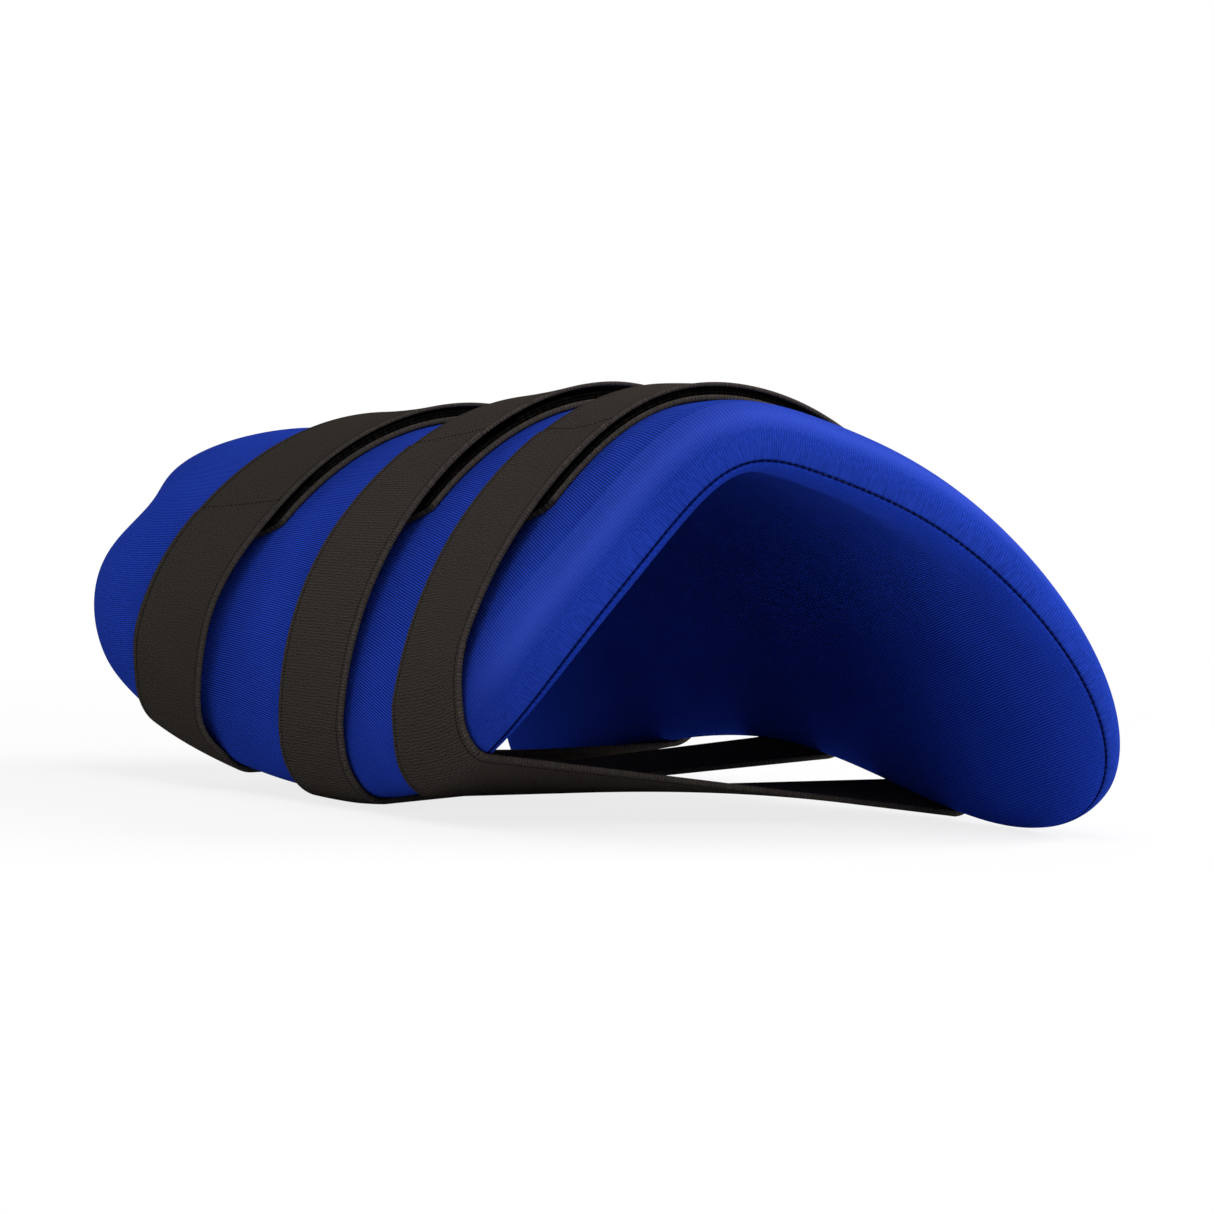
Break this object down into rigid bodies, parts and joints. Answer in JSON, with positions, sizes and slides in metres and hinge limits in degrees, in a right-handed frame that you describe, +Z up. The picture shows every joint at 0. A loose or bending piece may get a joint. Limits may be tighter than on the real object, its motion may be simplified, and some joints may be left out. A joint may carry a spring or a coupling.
{
  "type": "forearm guard",
  "caption": "Padded gutter-shaped forearm guard in a sewn cloth cover, closed on the arm by elastic straps with hook-and-loop tabs.",
  "frame": {"origin": "middle of the guard's bounding box on the surface it rests on", "axes": "+Y along the forearm towards the wrist, +Z up with the arm channel open downwards, +X to the right seen from the elbow end"},
  "size_m": [0.1858, 0.3252, 0.1219],
  "materials": {
    "cover_cloth": "blue stretch twill with a slight sheen",
    "lining_cloth": "blue stretch twill, duller than the cover",
    "foam": "closed-cell foam, matte, out of sight",
    "webbing": "black elastic webbing, matte, ribbed across",
    "pile": "black hook and loop facing, matte"
  },
  "bodies": {
    "guard": {"foam_core": "foam", "outer_cover": "cover_cloth", "inner_lining": "lining_cloth", "wrist_band": "webbing", "wrist_loop_facing": "pile", "middle_band": "webbing", "middle_loop_facing": "pile", "elbow_band": "webbing", "elbow_loop_facing": "pile"},
    "wrist_closure": {"wrist_tab": "webbing", "wrist_hook_facing": "pile"},
    "middle_closure": {"middle_tab": "webbing", "middle_hook_facing": "pile"},
    "elbow_closure": {"elbow_tab": "webbing", "elbow_hook_facing": "pile"}
  },
  "joints": [
    {"name": "wrist_tab_peel", "type": "hinge", "parent": "guard", "child": "wrist_closure", "pos_m": [-0.06975, 0.09309, 0.08394], "axis": [0.2208, -0.9732, 0.0638], "range_deg": [0, 120]},
    {"name": "middle_tab_peel", "type": "hinge", "parent": "guard", "child": "middle_closure", "pos_m": [-0.04226, 0.01258, 0.10519], "axis": [0.0731, -0.9945, 0.0755], "range_deg": [0, 120]},
    {"name": "elbow_tab_peel", "type": "hinge", "parent": "guard", "child": "elbow_closure", "pos_m": [-0.04196, -0.05989, 0.10854], "axis": [-0.0237, -0.9974, 0.0685], "range_deg": [0, 120]}
  ]
}
